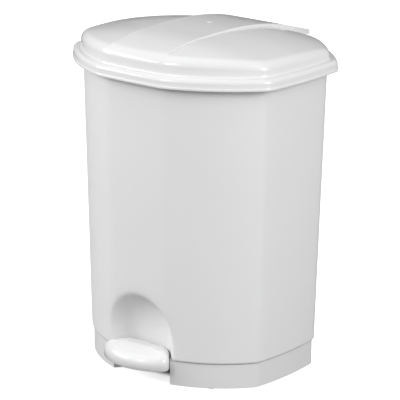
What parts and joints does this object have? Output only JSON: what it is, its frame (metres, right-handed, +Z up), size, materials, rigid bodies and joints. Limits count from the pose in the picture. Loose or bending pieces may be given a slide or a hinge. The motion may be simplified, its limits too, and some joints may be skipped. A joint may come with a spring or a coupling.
{
  "type": "pedal bin",
  "caption": "Free-standing white plastic pedal bin with a tapered faceted body, base skirt, domed hinged lid with a raised band, toe recess and crowned foot pedal.",
  "frame": {"origin": "on the floor under the centre of the faceted plan", "axes": "+Z up, the pedal faces -Y, the lid hinge is at +Y, +X is to the right seen from the pedal"},
  "size_m": [0.3166, 0.305, 0.4229],
  "materials": {
    "shell_plastic": "satin white moulded polypropylene",
    "lid_plastic": "glossy white moulded polypropylene",
    "tread_plastic": "glossy white moulded polypropylene",
    "liner_plastic": "matt off-white moulded polypropylene",
    "lever_plastic": "matt white glass-filled plastic",
    "guide_plastic": "matt natural acetal",
    "zinc_steel": "zinc plated",
    "foot_rubber": "matt",
    "bumper_rubber": "matt translucent white"
  },
  "bodies": {
    "body": {"body_shell": "shell_plastic", "base_skirt": "shell_plastic", "base_screws": "zinc_steel", "foot_front_left": "foot_rubber", "foot_front_right": "foot_rubber", "foot_rear_left": "foot_rubber", "foot_rear_right": "foot_rubber", "pedal_axle": "zinc_steel", "axle_clip_left": "zinc_steel", "axle_clip_right": "zinc_steel", "rod_guide_lower": "guide_plastic", "rod_guide_upper": "guide_plastic", "hinge_pin": "zinc_steel", "inner_bucket": "liner_plastic"},
    "lid": {"lid": "lid_plastic", "lid_bumper_left": "bumper_rubber", "lid_bumper_right": "bumper_rubber"},
    "pedal": {"pedal_lever": "lever_plastic", "pedal_tread": "tread_plastic", "tread_screws": "zinc_steel"},
    "rod": {"lift_rod": "zinc_steel"}
  },
  "joints": [
    {"name": "lid_hinge", "type": "hinge", "parent": "body", "child": "lid", "pos_m": [0, 0.1485, 0.3835], "axis": [-1, 0, 0], "range_deg": [0, 74]},
    {"name": "pedal_hinge", "type": "hinge", "parent": "body", "child": "pedal", "pos_m": [0, -0.03, 0.02], "axis": [1, 0, 0], "range_deg": [0, 6.26]},
    {"name": "rod_slide", "type": "slide", "parent": "body", "child": "rod", "axis": [0, 0, 1], "range_m": [0, 0.01806]}
  ],
  "couplings": [
    {"joint": "pedal_hinge", "follows": "lid_hinge", "ratio": 0.084631},
    {"joint": "rod_slide", "follows": "lid_hinge", "m_per_rad": 0.013979}
  ]
}
